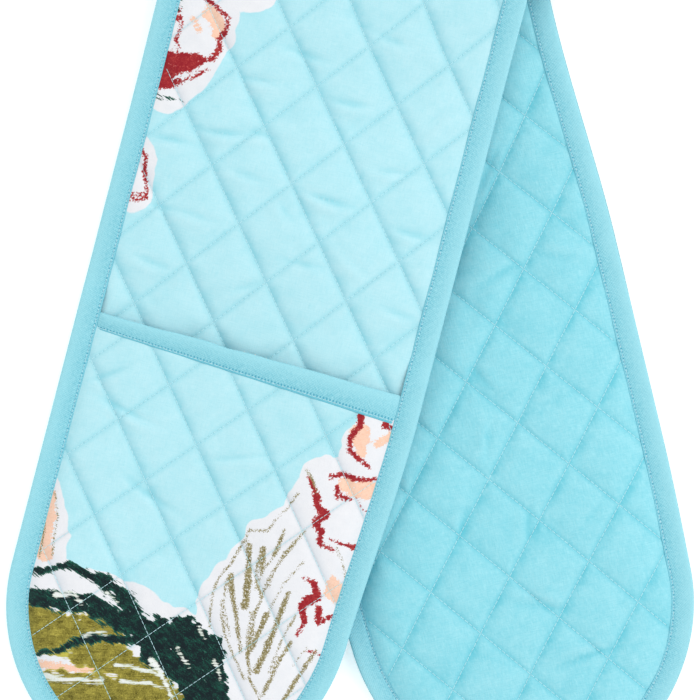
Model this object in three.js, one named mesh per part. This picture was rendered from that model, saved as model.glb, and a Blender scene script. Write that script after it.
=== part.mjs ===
// Double oven glove: one long quilted strip with a hand pocket on its printed face at each end.
// It is stored folded in half: the front half lies on the back half and its end goes left,
// the end of the back half goes right. Millimetres, +Z up, and the fold is at the +Y side.
//
// Every piece is drawn on the flat strip first. u runs across the strip, v runs along it from the
// middle (v < 0 on the back half), and "off" is the height over the middle of the quilted layers,
// towards the printed face. place() then folds that flat pattern into its stored shape.
import * as THREE from 'three';
import { mergeVertices } from 'three/addons/utils/BufferGeometryUtils.js';

// Strip
const LENGTH = 880;
const WIDTH = 180;
const HALF_WIDTH = WIDTH / 2;
const CAP_START = LENGTH / 2 - HALF_WIDTH;

// Layers
const STRIP_THICK = 6.4;
const STRIP_EDGE_THICK = 3.4;
const STRIP_FABRIC = 0.6;
const POCKET_THICK = 5;
const POCKET_EDGE_THICK = 2.8;
const POCKET_FABRIC = 0.5;
const GAP = 0.3;
const CUT_INSET = 1;

// Edge and mouth bindings
const BINDING_WIDTH = 11.5;
const BINDING_TAPE = 0.8;
const BINDING_WALL = 0.7;
const BINDING_ROUND = 0.4;
const BINDING_SHOULDER = 1.2;
const PINCH_END = 29;

// Pockets
const POCKET_DEPTH = 218;
const POCKET_INSET = 12.5;
const MOUTH_AT = LENGTH / 2 - POCKET_DEPTH;
const MOUTH_SKEW = Math.tan(THREE.MathUtils.degToRad(2.5));
const MOUTH_BINDING_WIDTH = 12;
const MOUTH_PINCH_END = 27;
const POCKET_CLEARANCE = 1.5;
const POCKET_CAVITY = 6.5;
const CROWN_END = 55;
const BACK_RISE_START = 132;
const BACK_RISE_END = MOUTH_AT - 4;
const POCKET_EDGE_LIFT = 1.2;

// Fold
const SPLAY = THREE.MathUtils.degToRad(14);
const SIN = Math.sin(SPLAY);
const COS = Math.cos(SPLAY);
const FOLD_RADIUS = 8;
const FOLD_ARC = FOLD_RADIUS * Math.PI / 2;
const FOLD_Z = STRIP_THICK / 2 + FOLD_RADIUS;
const REACH = CAP_START * COS + HALF_WIDTH - FOLD_ARC;
const FOLD_Y = (REACH - FOLD_RADIUS - STRIP_THICK / 2) / 2;

// How the front half lies over the back half: its underside's height by the fold, halfway and on
// the back pocket, the stretches over which that height changes, and how it sags to the floor
// with the distance sideways from the back half.
const REST_NEAR_FOLD = 2 * FOLD_RADIUS;
const REST_MIDDLE = 10;
const REST_ON_POCKET = 20;
const FOLD_SLOPE_END = 85;
const POCKET_SLOPE = [75, 180];
const TIP_SLOPE = [360, 430];
const TIP_DROP = 0.8;
const SAG_ALONG_END = 90;
const SAG_ACROSS = [-60, 100];

// Hanging loop
const LOOP_TAPE_WIDTH = 9;
const LOOP_TAPE = 1.4;
const LOOP_LENGTH = 36;
const LOOP_HALF_HEIGHT = 6.6;
const LOOP_START = 2.2;
const LOOP_DROOP = THREE.MathUtils.degToRad(19);
const LOOP_STEPS = 18;

// Mesh steps. Rows by the fold run parallel to it, and square up between the two distances.
const SKEWED_ROWS = [90, 205];
const ROW_STEP = 19;
const CAP_STEPS = 14;
const ARC_STEPS = 10;
const STRIP_INSETS = [CUT_INSET, 12, 18, PINCH_END, CROWN_END, HALF_WIDTH];
const POCKET_INSETS = [POCKET_INSET, 18, 23, PINCH_END, 37, 45, CROWN_END, 70, HALF_WIDTH];
const MOUTH_INSETS = [0, 6, 12, 19, MOUTH_PINCH_END];

const materials = {
  printed: new THREE.MeshStandardMaterial({ color: 0xbfe6ee, roughness: 0.92, metalness: 0 }),
  lining: new THREE.MeshStandardMaterial({ color: 0x96dfec, roughness: 0.92, metalness: 0 }),
  binding: new THREE.MeshStandardMaterial({ color: 0x9bdfee, roughness: 0.88, metalness: 0 }),
  wadding: new THREE.MeshStandardMaterial({ color: 0xf2f0ea, roughness: 1, metalness: 0 }),
};

const glove = new THREE.Group();

function smooth(from, to, x) {
  return THREE.MathUtils.smoothstep(x, from, to);
}

// Distance inwards from the strip's outline.
function inset(u, v) {
  const past = Math.max(Math.abs(v) - CAP_START, 0);
  return HALF_WIDTH - Math.hypot(u, past);
}

// Half thickness of the strip, pinched flat under the binding.
function stripHalf(d) {
  const edge = STRIP_EDGE_THICK / 2;
  return edge + (STRIP_THICK / 2 - edge) * smooth(POCKET_INSET, PINCH_END, d);
}

function pocketUnderside(d) {
  return stripHalf(d) + POCKET_CLEARANCE + POCKET_CAVITY * smooth(POCKET_INSET, CROWN_END, d);
}

function pocketThickness(d, fromMouth) {
  const full = smooth(POCKET_INSET, PINCH_END, d) * smooth(MOUTH_BINDING_WIDTH, MOUTH_PINCH_END, fromMouth);
  return POCKET_EDGE_THICK + (POCKET_THICK - POCKET_EDGE_THICK) * full;
}

// Height of the back half's middle layer: on the floor near the fold, on its pocket at the end.
function backHeight(u, v) {
  const d = inset(u, v);
  const lift = POCKET_EDGE_LIFT * (1 - smooth(POCKET_INSET, PINCH_END, d));
  const onPocket = pocketUnderside(d) + pocketThickness(d, Infinity) + lift;
  const onFloor = STRIP_THICK / 2;
  return onFloor + (onPocket - onFloor) * smooth(BACK_RISE_START, BACK_RISE_END, -v);
}

// Height of the front half's middle layer: it leaves the fold, rests on the back half and sags
// to the floor on the side where nothing lies under it.
function frontHeight(x, s) {
  let rest = REST_MIDDLE;
  rest += (REST_NEAR_FOLD - REST_MIDDLE) * (1 - smooth(FOLD_ARC, FOLD_SLOPE_END, s));
  rest += (REST_ON_POCKET - REST_MIDDLE) * smooth(...POCKET_SLOPE, s);
  rest *= 1 - TIP_DROP * smooth(...TIP_SLOPE, s);
  const outside = s * SIN - x * COS - HALF_WIDTH;
  const sag = smooth(FOLD_ARC, SAG_ALONG_END, s) * smooth(...SAG_ACROSS, outside);
  return STRIP_THICK / 2 + rest * (1 - sag);
}

// Folds a point of the flat strip into its stored place.
function place(u, v, off) {
  const x = u * COS - v * SIN;
  const s = v * COS + u * SIN;
  if (Math.abs(s) <= FOLD_ARC) {
    const turn = s / FOLD_RADIUS;
    const r = FOLD_RADIUS + off;
    return new THREE.Vector3(x, FOLD_Y + r * Math.cos(turn), FOLD_Z + r * Math.sin(turn));
  }
  const y = FOLD_Y + FOLD_ARC - Math.abs(s);
  const z = s > 0 ? frontHeight(x, s) + off : backHeight(u, v) - off;
  return new THREE.Vector3(x, y, z);
}

// A row across the strip starts parallel to the fold line, or to the pocket's mouth, and squares up.
function foldSkew(v) {
  return -(SIN / COS) * (1 - smooth(...SKEWED_ROWS, v));
}

function mouthSkew(v) {
  return MOUTH_SKEW * (1 - smooth(MOUTH_AT, CAP_START, v));
}

function rowsFrom(start, first = []) {
  const from = start + (first.length ? first[first.length - 1] : 0);
  const count = Math.ceil((CAP_START - from) / ROW_STEP);
  const rest = Array.from({ length: count }, (_, i) => from + (CAP_START - from) * (i + 1) / count);
  return first.length ? [...first.map((step) => start + step), ...rest] : [start, ...rest];
}

// Spokes run round an end of the strip, from one side of the start line to the other. Each one
// turns a distance in from the outline into a point of the flat strip.
function endSpokes(rows, skew, end) {
  const side = (sign, v) => (d) => {
    const u = sign * (HALF_WIDTH - d);
    return { u, v: end * (v + skew(v) * u * end), d };
  };
  const cap = (angle) => (d) => ({
    u: (HALF_WIDTH - d) * Math.cos(angle),
    v: end * (CAP_START + (HALF_WIDTH - d) * Math.sin(angle)),
    d,
  });
  const down = rows.map((v) => side(-1, v));
  const round = Array.from({ length: CAP_STEPS - 1 }, (_, i) => cap(Math.PI * (1 - (i + 1) / CAP_STEPS)));
  const up = rows.map((v) => side(1, v)).reverse();
  return [...down, ...round, ...up];
}

// Spokes of the stretch that bends round the fold, on one side of the strip.
function foldSpokes(sign) {
  const span = FOLD_ARC - GAP / 2;
  return Array.from({ length: ARC_STEPS + 1 }, (_, i) => (d) => {
    const u = sign * (HALF_WIDTH - d);
    const s = -span + 2 * span * i / ARC_STEPS;
    return { u, v: (s - u * SIN) / COS, d };
  });
}

// Joins equal points, drops empty triangles and turns the solid's faces outwards.
function finishSolid(points, faces) {
  let geometry = new THREE.BufferGeometry().setFromPoints(points);
  geometry.setIndex(faces.flat());
  geometry = mergeVertices(geometry, 1e-4);
  const at = geometry.attributes.position;
  const corner = [new THREE.Vector3(), new THREE.Vector3(), new THREE.Vector3()];
  const kept = [];
  let volume = 0;
  for (let i = 0; i < geometry.index.count; i += 3) {
    const face = [0, 1, 2].map((k) => geometry.index.getX(i + k));
    if (new Set(face).size === 3) {
      face.forEach((index, k) => corner[k].fromBufferAttribute(at, index));
      volume += corner[0].dot(corner[1].clone().cross(corner[2]));
      kept.push(face);
    }
  }
  geometry.setIndex((volume < 0 ? kept.map((face) => face.reverse()) : kept).flat());
  geometry.computeVertexNormals();
  return geometry;
}

// A layer: the area that the grids cover, between two heights.
function layerSolid(grids, low, high) {
  const flat = [];
  const index = new Map();
  const pointOf = (p) => {
    const key = `${p.u.toFixed(4)},${p.v.toFixed(4)}`;
    if (!index.has(key)) {
      index.set(key, flat.length);
      flat.push(p);
    }
    return index.get(key);
  };
  const area = [];
  for (const grid of grids) {
    const ids = grid.map((line) => line.map(pointOf));
    for (let i = 0; i + 1 < ids.length; i += 1) {
      for (let k = 0; k + 1 < ids[i].length; k += 1) {
        area.push([ids[i][k], ids[i + 1][k], ids[i + 1][k + 1]]);
        area.push([ids[i][k], ids[i + 1][k + 1], ids[i][k + 1]]);
      }
    }
  }
  const top = area.filter((face) => new Set(face).size === 3);
  const edges = new Set(top.flatMap(([a, b, c]) => [`${a} ${b}`, `${b} ${c}`, `${c} ${a}`]));
  const n = flat.length;
  const faces = [...top, ...top.map(([a, b, c]) => [c + n, b + n, a + n])];
  for (const edge of edges) {
    const [a, b] = edge.split(' ').map(Number);
    if (!edges.has(`${b} ${a}`)) {
      faces.push([b, a, a + n], [b, a + n, b + n]);
    }
  }
  const points = [high, low].flatMap((height) => flat.map((p) => place(p.u, p.v, height(p))));
  return finishSolid(points, faces);
}

// A folded tape: sections of paired outer and inner points, swept along their path.
function tapeSolid(sections) {
  const pairs = sections[0].length;
  const ring = 2 * pairs;
  const points = sections.flatMap((section) => [
    ...section.map((pair) => pair[0]),
    ...section.map((pair) => pair[1]).reverse(),
  ]);
  const faces = [];
  for (let i = 0; i + 1 < sections.length; i += 1) {
    for (let k = 0; k < ring; k += 1) {
      const next = (k + 1) % ring;
      const a = i * ring + k;
      const b = i * ring + next;
      faces.push([a, b, b + ring], [a, b + ring, a + ring]);
    }
  }
  const last = (sections.length - 1) * ring;
  for (let k = 0; k + 1 < pairs; k += 1) {
    const far = ring - 1 - k;
    faces.push([k, far, far - 1], [k, far - 1, k + 1]);
    faces.push([last + k, last + k + 1, last + far - 1], [last + k, last + far - 1, last + far]);
  }
  return finishSolid(points, faces);
}

function add(name, material, geometry) {
  const mesh = new THREE.Mesh(geometry, materials[material]);
  mesh.name = name;
  glove.add(mesh);
}

function insetGrid(spokes, insets) {
  return spokes.map((spoke) => insets.map((d) => spoke(d)));
}

// Printed cotton, wadding and lining of one stretch of the strip.
function addStripLayers(name, grids) {
  const inner = STRIP_FABRIC + GAP;
  const half = (p) => stripHalf(p.d);
  add(`${name}_outer_fabric`, 'printed', layerSolid(grids, (p) => half(p) - STRIP_FABRIC, half));
  add(`${name}_wadding`, 'wadding', layerSolid(grids, (p) => inner - half(p), (p) => half(p) - inner));
  add(`${name}_lining`, 'lining', layerSolid(grids, (p) => -half(p), (p) => STRIP_FABRIC - half(p)));
}

// The binding is a tape folded over the strip's edge: one leg on each face, one wall outside.
function edgeBinding(spokes) {
  const inner = STRIP_EDGE_THICK / 2 + GAP;
  const outer = inner + BINDING_TAPE;
  const wall = inner - BINDING_ROUND;
  const section = [
    [[BINDING_WIDTH, outer], [BINDING_WIDTH, inner]],
    [[BINDING_SHOULDER, outer], [BINDING_SHOULDER, inner]],
    [[0, wall], [BINDING_WALL, wall]],
    [[0, -wall], [BINDING_WALL, -wall]],
    [[BINDING_SHOULDER, -outer], [BINDING_SHOULDER, -inner]],
    [[BINDING_WIDTH, -outer], [BINDING_WIDTH, -inner]],
  ];
  return tapeSolid(spokes.map((spoke) => section.map((pair) => pair.map(([d, off]) => {
    const p = spoke(d);
    return place(p.u, p.v, off);
  }))));
}

function addHalf(name, end) {
  const start = (FOLD_ARC + GAP / 2) / COS;
  const spokes = endSpokes(rowsFrom(start), foldSkew, end);
  addStripLayers(name, [insetGrid(spokes, STRIP_INSETS)]);
  add(`${name}_edge_binding`, 'binding', edgeBinding(spokes));
}

function addFold() {
  const grids = [
    insetGrid(foldSpokes(-1), STRIP_INSETS),
    insetGrid(foldSpokes(1).reverse(), STRIP_INSETS),
  ];
  addStripLayers('fold', grids);
  add('fold_binding_left', 'binding', edgeBinding(foldSpokes(-1)));
  add('fold_binding_right', 'binding', edgeBinding(foldSpokes(1)));
}

// The mouth binding is folded over the pocket's open edge in the same way.
function mouthBinding(end) {
  const insets = [...POCKET_INSETS, ...POCKET_INSETS.slice(0, -1).reverse()];
  const sign = (i) => (i < POCKET_INSETS.length ? -1 : 1);
  const sections = insets.map((d, i) => {
    const u = sign(i) * (HALF_WIDTH - d);
    const low = pocketUnderside(d);
    const high = low + POCKET_EDGE_THICK;
    const at = (fromMouth, off) => place(u, end * (MOUTH_AT + MOUTH_SKEW * u * end + fromMouth), off);
    const tape = GAP + BINDING_TAPE;
    return [
      [at(MOUTH_BINDING_WIDTH, high + tape), at(MOUTH_BINDING_WIDTH, high + GAP)],
      [at(0.8, high + tape), at(1, high + GAP)],
      [at(0, high), at(BINDING_WALL, high)],
      [at(0, low), at(BINDING_WALL, low)],
      [at(0.8, low - tape), at(1, low - GAP)],
      [at(MOUTH_BINDING_WIDTH, low - tape), at(MOUTH_BINDING_WIDTH, low - GAP)],
    ];
  });
  return tapeSolid(sections);
}

function addPocket(name, end) {
  const rows = rowsFrom(MOUTH_AT + CUT_INSET, MOUTH_INSETS);
  const grid = [insetGrid(endSpokes(rows, mouthSkew, end), POCKET_INSETS)];
  const low = (p) => pocketUnderside(p.d);
  const high = (p) => {
    const fromMouth = Math.abs(p.v) - MOUTH_AT - mouthSkew(Math.abs(p.v)) * p.u * end;
    return low(p) + pocketThickness(p.d, fromMouth);
  };
  const inner = POCKET_FABRIC + GAP;
  add(`${name}_outer_fabric`, 'printed', layerSolid(grid, (p) => high(p) - POCKET_FABRIC, high));
  add(`${name}_wadding`, 'wadding', layerSolid(grid, (p) => low(p) + inner, (p) => high(p) - inner));
  add(`${name}_lining`, 'lining', layerSolid(grid, low, (p) => low(p) + POCKET_FABRIC));
  add(`${name}_mouth_binding`, 'binding', mouthBinding(end));
}

// A tape loop sewn into the binding halfway along the strip. It points sideways and droops.
function addHangingLoop() {
  const root = place(HALF_WIDTH, 0, 0);
  const half = (t) => LOOP_HALF_HEIGHT * Math.sin(Math.PI * t) ** 0.8 * (0.55 + 0.75 * t);
  const loopPoint = (i, deep) => {
    const a = i / LOOP_STEPS;
    const t = 1 - Math.abs(2 * a - 1);
    const side = a < 0.5 ? 1 : -1;
    const full = LOOP_START + (LOOP_LENGTH - LOOP_START) * Math.sin(Math.PI * t / 2);
    const along = full - (deep ? LOOP_TAPE * t : 0);
    const high = side * Math.max(half(t) - (deep ? LOOP_TAPE : 0), deep ? 0.05 : LOOP_TAPE);
    return [along, t === 1 ? 0 : high];
  };
  const sections = [];
  for (let i = 0; i <= LOOP_STEPS; i += 1) {
    const corner = (deep, across) => {
      const [along, high] = loopPoint(i, deep);
      const out = along * Math.cos(LOOP_DROOP) + high * Math.sin(LOOP_DROOP);
      const up = high * Math.cos(LOOP_DROOP) - along * Math.sin(LOOP_DROOP);
      return new THREE.Vector3(root.x + out, root.y + across, root.z + up);
    };
    const w = LOOP_TAPE_WIDTH / 2;
    sections.push([[corner(false, -w), corner(true, -w)], [corner(false, w), corner(true, w)]]);
  }
  add('hanging_loop', 'binding', tapeSolid(sections));
}

addHalf('back', -1);
addFold();
addHalf('front', 1);
addPocket('front_pocket', 1);
addPocket('back_pocket', -1);
addHangingLoop();

export default glove;
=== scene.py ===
import math
from functools import partialmethod

import bpy
import numpy as np
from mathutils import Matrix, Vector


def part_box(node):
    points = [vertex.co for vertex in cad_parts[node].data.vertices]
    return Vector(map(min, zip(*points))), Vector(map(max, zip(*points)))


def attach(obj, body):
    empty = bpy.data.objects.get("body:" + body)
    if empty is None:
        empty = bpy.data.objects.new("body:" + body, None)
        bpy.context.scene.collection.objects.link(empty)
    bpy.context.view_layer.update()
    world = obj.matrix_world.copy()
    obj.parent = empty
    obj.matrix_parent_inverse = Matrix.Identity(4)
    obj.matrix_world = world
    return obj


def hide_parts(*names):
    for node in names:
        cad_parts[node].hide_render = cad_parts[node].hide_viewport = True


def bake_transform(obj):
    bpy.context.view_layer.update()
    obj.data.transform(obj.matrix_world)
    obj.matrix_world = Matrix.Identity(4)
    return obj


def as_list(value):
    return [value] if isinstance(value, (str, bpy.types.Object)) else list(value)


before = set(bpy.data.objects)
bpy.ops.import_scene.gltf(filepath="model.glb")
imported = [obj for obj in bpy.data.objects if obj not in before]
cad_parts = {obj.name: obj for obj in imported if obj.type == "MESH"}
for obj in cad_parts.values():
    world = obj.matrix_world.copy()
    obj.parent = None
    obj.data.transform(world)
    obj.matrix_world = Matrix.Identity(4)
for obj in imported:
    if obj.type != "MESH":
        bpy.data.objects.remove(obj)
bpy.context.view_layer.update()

MM = 0.001
FABRIC = 0.45

# Strip and fold, as in the CAD. STRIP_HALF is half its thickness, and LAID its height over the floor.
HALF_WIDTH = 90.0
CAP_START = 350.0
SPLAY = math.radians(14.0)
SIN, COS = math.sin(SPLAY), math.cos(SPLAY)
FOLD_RADIUS = 8.0
FOLD_ARC = FOLD_RADIUS * math.pi / 2
STRIP_HALF = 3.2
FOLD_Z = STRIP_HALF + FOLD_RADIUS
FOLD_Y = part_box("fold_outer_fabric")[1].y / MM - FOLD_RADIUS - STRIP_HALF
LAID = 0.4

# The outline as in the photo: each end is drawn in at its inner side, the back half's outer edge twice
FRONT_DRAWN, FRONT_TAPERS = 7.0, (225, 375)
BACK_DRAWN, BACK_TAPERS = 3.5, (290, 380)
NEAR_BOW, NEAR_BOW_GROWS, NEAR_BOW_FADES = 4.2, (3, 34), (40, 150)
FAR_BOW, FAR_BOW_GROWS = 4.4, (250, 400)

# How the halves lie: closest a little below the fold, then lifted by the pockets between and under
# them. The front half drops at its end, and sags where it lies beside the back half.
CLOSEST, CLOSES = 10, (FOLD_ARC, 85)
LIFT, LIFTS = 9.5, (75, 180)
DROP, DROPS = 0.8, (360, 430)
SAGS, SAGS_OUTSIDE = (FOLD_ARC, 90), (-60, 100)
BACK_LIFT, BACK_LIFTS = 3.0, 132

# Quilting
PITCH = 31.8
ACROSS, ALONG = 20.5, 25.2
STITCHES_PER_CELL = 12
SEAM_LEVEL = 1.1
PUFF = 2.3
POCKET_PUFF = 1.7
FLATTENED_IN_POCKET = 0.35
CREASE_WIDTH = 1.9

# Pockets. The mouth's place and slant follow the photo.
MOUTH_AT = 218.0
MOUTH_SKEW = math.tan(math.radians(1.0))
MOUTH_SHARE, MOUTH_RISES = 0.6, (MOUTH_AT + 8, MOUTH_AT + 75)
POCKET_SEAM = 2.3
POCKET_RISE = 8.4
POCKET_LEVEL = 0.9
POCKET_CROWN = 13.0

# Bindings
SEAM_INSET = 10.4
SEWN_INSET = 12.2
MOUTH_BINDING_WIDTH = 11.7
MOUTH_BINDING_TAPER = 0.039
BINDING_STITCH = 2.6


# ---- flat pattern and its folding

def smooth(low, high, x):
    """0 below low, 1 above high, and an even curve between them."""
    t = np.clip((np.asarray(x, float) - low) / (high - low), 0, 1)
    return t * t * (3 - 2 * t)


def rise(x, length):
    """0 up to x = 0, then closer and closer to 1 over about that length."""
    return 1 - np.exp(-np.maximum(x, 0) / length)


def drawn_in(u, v):
    """How far the outline is pulled towards the middle at the inner side of each rounded end."""
    u, v = np.asarray(u, float), np.asarray(v, float)
    return (FRONT_DRAWN * smooth(*FRONT_TAPERS, v) * smooth(0, HALF_WIDTH, u)
            - BACK_DRAWN * smooth(*BACK_TAPERS, -v) * smooth(0, HALF_WIDTH, -u))


def inset(u, v):
    """Distance inwards from the strip's outline."""
    across = u + drawn_in(u + drawn_in(u, v), v)
    return HALF_WIDTH - np.hypot(across, np.maximum(np.abs(v) - CAP_START, 0))


def from_fold(u, v):
    """Distance from the fold, below 0 on the back half."""
    return v * COS + u * SIN


def pocket_middle(u, v):
    """Height of a pocket's middle layer over the middle of the strip."""
    laid = MOUTH_SHARE + (1 - MOUTH_SHARE) * smooth(*MOUTH_RISES, np.abs(v))
    return POCKET_SEAM + laid * POCKET_RISE * rise(inset(u, v) - SEAM_INSET, POCKET_CROWN)


def back_height(u, v):
    """Height of the back half over the floor, lifted by the pocket under it."""
    on_pocket = pocket_middle(u, v) + BACK_LIFT
    return STRIP_HALF + (on_pocket - STRIP_HALF) * smooth(BACK_LIFTS, MOUTH_AT - 4, -v)


def front_height(x, s):
    """Height of the front half at x and at s from the fold. It sags where it lies beside the back half."""
    rest = CLOSEST + (2 * FOLD_RADIUS - CLOSEST) * (1 - smooth(*CLOSES, s)) + LIFT * smooth(*LIFTS, s)
    rest = rest * (1 - DROP * smooth(*DROPS, s))
    outside = s * SIN - x * COS - HALF_WIDTH
    return STRIP_HALF + rest * (1 - smooth(*SAGS, s) * smooth(*SAGS_OUTSIDE, outside))


def bow(s):
    """How far the back half's outer edge is drawn in near the fold and near its end."""
    near = smooth(*NEAR_BOW_GROWS, s) * (1 - smooth(*NEAR_BOW_FADES, s))
    return NEAR_BOW * near + FAR_BOW * smooth(*FAR_BOW_GROWS, s)


def place(u, v, off):
    """Folds points of the flat strip into their stored places, in metres."""
    u, v, off = np.broadcast_arrays(*(np.asarray(a, float) for a in (u, v, off)))
    s = from_fold(u, v)
    x = u * COS - v * SIN - smooth(-HALF_WIDTH, HALF_WIDTH, u) * bow(-s)
    turn = np.clip(s, -FOLD_ARC, FOLD_ARC) / FOLD_RADIUS
    bent = np.abs(s) <= FOLD_ARC
    radius = FOLD_RADIUS + off
    flat_z = np.where(s > 0, front_height(x, s) + off, back_height(u, v) - off)
    y = np.where(bent, FOLD_Y + radius * np.cos(turn), FOLD_Y + FOLD_ARC - np.abs(s))
    z = np.where(bent, FOLD_Z + radius * np.sin(turn), flat_z)
    return np.stack([x, y, z + LAID], -1) * MM


def value_noise(x, y, seed):
    """Smooth noise between -1 and 1, the same on every run."""
    xi, yi = np.floor(x), np.floor(y)
    fx, fy = x - xi, y - yi
    fx, fy = fx * fx * (3 - 2 * fx), fy * fy * (3 - 2 * fy)

    def corner(i, j):
        h = np.sin((xi + i) * 127.1 + (yi + j) * 311.7 + seed * 74.7) * 43758.5453
        return (h - np.floor(h)) * 2 - 1

    low, high = (corner(0, j) * (1 - fx) + corner(1, j) * fx for j in (0, 1))
    return low * (1 - fy) + high * fy


def run_along(path):
    """Distance along a path, at each of its points."""
    return np.concatenate([[0], np.cumsum(np.hypot(*np.diff(path, axis=0).T))])


def direction(degrees):
    """A unit step at that angle."""
    return math.cos(math.radians(degrees)), math.sin(math.radians(degrees))


def add_object(name, data):
    thing = bpy.data.objects.new(name, data)
    bpy.context.collection.objects.link(thing)
    return thing


def grid_quads(ids):
    """The quads of a grid of point numbers."""
    return np.stack([ids[:-1, :-1], ids[1:, :-1], ids[1:, 1:], ids[:-1, 1:]], -1)


# ---- quilting

class SewnPanel:
    """A patch of quilted cotton, swollen by its wadding in a cloth simulation that holds its seams."""

    # Half a diamond's width and length over the pitch, metres to a millimetre, and the time to swell
    DIAMOND = 0.64, 0.78
    SIZE = 0.01
    FRAMES = 20

    def __init__(self, cells, divisions, swell, growth):
        self.cells, self.divisions = cells, divisions
        n = cells * divisions + 1
        t = np.arange(n) / divisions
        a, b = np.meshgrid(t, t, indexing="ij")
        sewn = (a == np.round(a)) | (b == np.round(b))
        ripple = 0.12 * value_noise(a * 9.3, b * 8.7, 2) + 0.1 * value_noise(a * 3.1, b * 2.7, 8)
        wide, long = self.DIAMOND
        flat = np.stack([(a - b) * PITCH * wide, (a + b) * PITCH * long, np.where(sewn, 0, ripple)], -1)
        quads = grid_quads(np.arange(n * n).reshape(n, n)).reshape(-1, 4)
        mesh = bpy.data.meshes.new("panel")
        mesh.from_pydata(flat.reshape(-1, 3) * self.SIZE, [], quads.tolist())
        panel = add_object("panel", mesh)
        group = panel.vertex_groups.new(name="sewn")
        group.add(np.flatnonzero(sewn.ravel()).tolist(), 1.0, "REPLACE")
        cloth = panel.modifiers.new("cloth", "CLOTH")
        settings = cloth.settings
        settings.vertex_group_mass = "sewn"
        settings.quality = 7
        settings.use_pressure = True
        settings.uniform_pressure_force = swell
        settings.shrink_min = -growth
        settings.effector_weights.gravity = 0
        settings.bending_stiffness = 1.5
        settings.air_damping = 5
        cloth.point_cache.frame_end = self.FRAMES
        for step in range(self.FRAMES):
            bpy.context.scene.frame_set(step + 1)
        swollen = panel.evaluated_get(bpy.context.evaluated_depsgraph_get())
        points = np.empty(n * n * 3, np.float32)
        swollen.data.vertices.foreach_get("co", points)
        height = np.clip(points.reshape(n, n, 3)[..., 2] / self.SIZE, 0, 6)[:-1, :-1]
        self.height = height / np.percentile(height, 97)
        bpy.context.scene.frame_set(1)
        bpy.data.objects.remove(panel)
        bpy.data.meshes.remove(mesh)

    def sample(self, a, b):
        """The panel's height at seam counts, repeated over the cloth and smoothed between its points."""
        n = self.cells * self.divisions
        steps, weights = [], []
        for t in (a, b):
            x = t * self.divisions
            first = np.floor(x)
            f = x - first
            steps.append(first.astype(int) - 1)
            weights.append(((1 - f) ** 3 / 6, (3 * f ** 3 - 6 * f ** 2 + 4) / 6,
                            (-3 * f ** 3 + 3 * f ** 2 + 3 * f + 1) / 6, f ** 3 / 6))
        return sum(weights[0][i] * weights[1][j] * self.height[(steps[0] + i) % n, (steps[1] + j) % n]
                   for i in range(4) for j in range(4))


PANEL = SewnPanel(cells=7, divisions=14, swell=3.0, growth=0.05)


def family(angle, pitch, first, sign):
    """Counts the parallel seams of one family: the result is a whole number on each seam."""
    nu, nv = direction(angle)
    return lambda u, v: (u * sign * nu + v * nv - first) / pitch


def mixed(front_count, back_count):
    """A seam count that changes smoothly from one half of the strip to the other."""
    def count(u, v):
        share = smooth(-60, 60, v)
        return front_count(u, v) * share + back_count(u, v) * (1 - share)
    return count


def from_seam(t):
    """Distance from the nearest seam of a family, by its count."""
    return np.abs(t - np.round(t)) * PITCH


class Quilt:
    """Two families of parallel seams. a and b count the seams, so a whole number lies on one."""

    def __init__(self, count_a, count_b, shift):
        self.counts, self.shift = (count_a, count_b), shift

    def ab(self, u, v):
        return [count(u, v) for count in self.counts]

    def uv(self, a, b):
        """Where seam counts a and b cross, found by repeated correction."""
        u, v = (a - b) * ACROSS, (a + b) * ALONG
        for _ in range(12):
            now_a, now_b = self.ab(u, v)
            da, db = a - now_a, b - now_b
            u, v = u + (da - db) * ACROSS, v + (da + db) * ALONG
        return u, v

    def span(self, low_v, high_v):
        """The lowest and highest seam count of each family between two places along the strip."""
        corners = np.array([self.ab(u, v) for u in (-HALF_WIDTH, HALF_WIDTH) for v in (low_v, high_v)])
        return np.stack([np.floor(corners.min(0)), np.ceil(corners.max(0))], -1).astype(int)

    def crease(self, u, v):
        """0 on a seam, rising to 1 beside it."""
        a, b = self.ab(u, v)
        return rise(from_seam(a), CREASE_WIDTH) * rise(from_seam(b), CREASE_WIDTH)

    def puff(self, u, v):
        """Height of the padding between the seams, from 0 on a seam to about 1."""
        a, b = self.ab(u, v)
        return self.crease(u, v) * (0.38 + 0.62 * PANEL.sample(a + self.shift, b + 2 * self.shift))

    def wrinkle(self, u, v, seed):
        """Puckers that cross the seams and die out away from them, and a few soft creases."""
        total = 0.0
        counts = self.ab(u, v)
        for k, t in enumerate(counts):
            near = from_seam(t)
            other = counts[1 - k] * PITCH
            ripple = value_noise(other / 3.4, np.round(t) * 7.3 + near / 9, seed + k)
            total = total + np.exp(-near / 5.0) * (near / (near + 0.8)) * ripple
        broad = value_noise(u / 30 + v / 70, v / 17 - u / 60, seed + 5)
        fine = value_noise(u / 13 + v / 40, v / 6.5 - u / 30, seed + 6)
        return 0.36 * total + 0.34 * broad + 0.14 * fine


STRIP_QUILT = Quilt(
    mixed(family(38.5, 31.7, 48.5, 1), family(38.0, 31.2, 44.6, 1)),
    mixed(family(39.5, 32.3, 19.6, -1), family(40.4, 32.3, 11.5, -1)), 0)
POCKET_QUILT = {
    1: Quilt(family(41.2, 32.7, 133.6, 1), family(39.0, 30.7, 150.2, -1), 1),
    -1: Quilt(family(39.3, 31.8, -133.6, 1), family(39.3, 31.8, -150.2, -1), 2),
}

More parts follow.
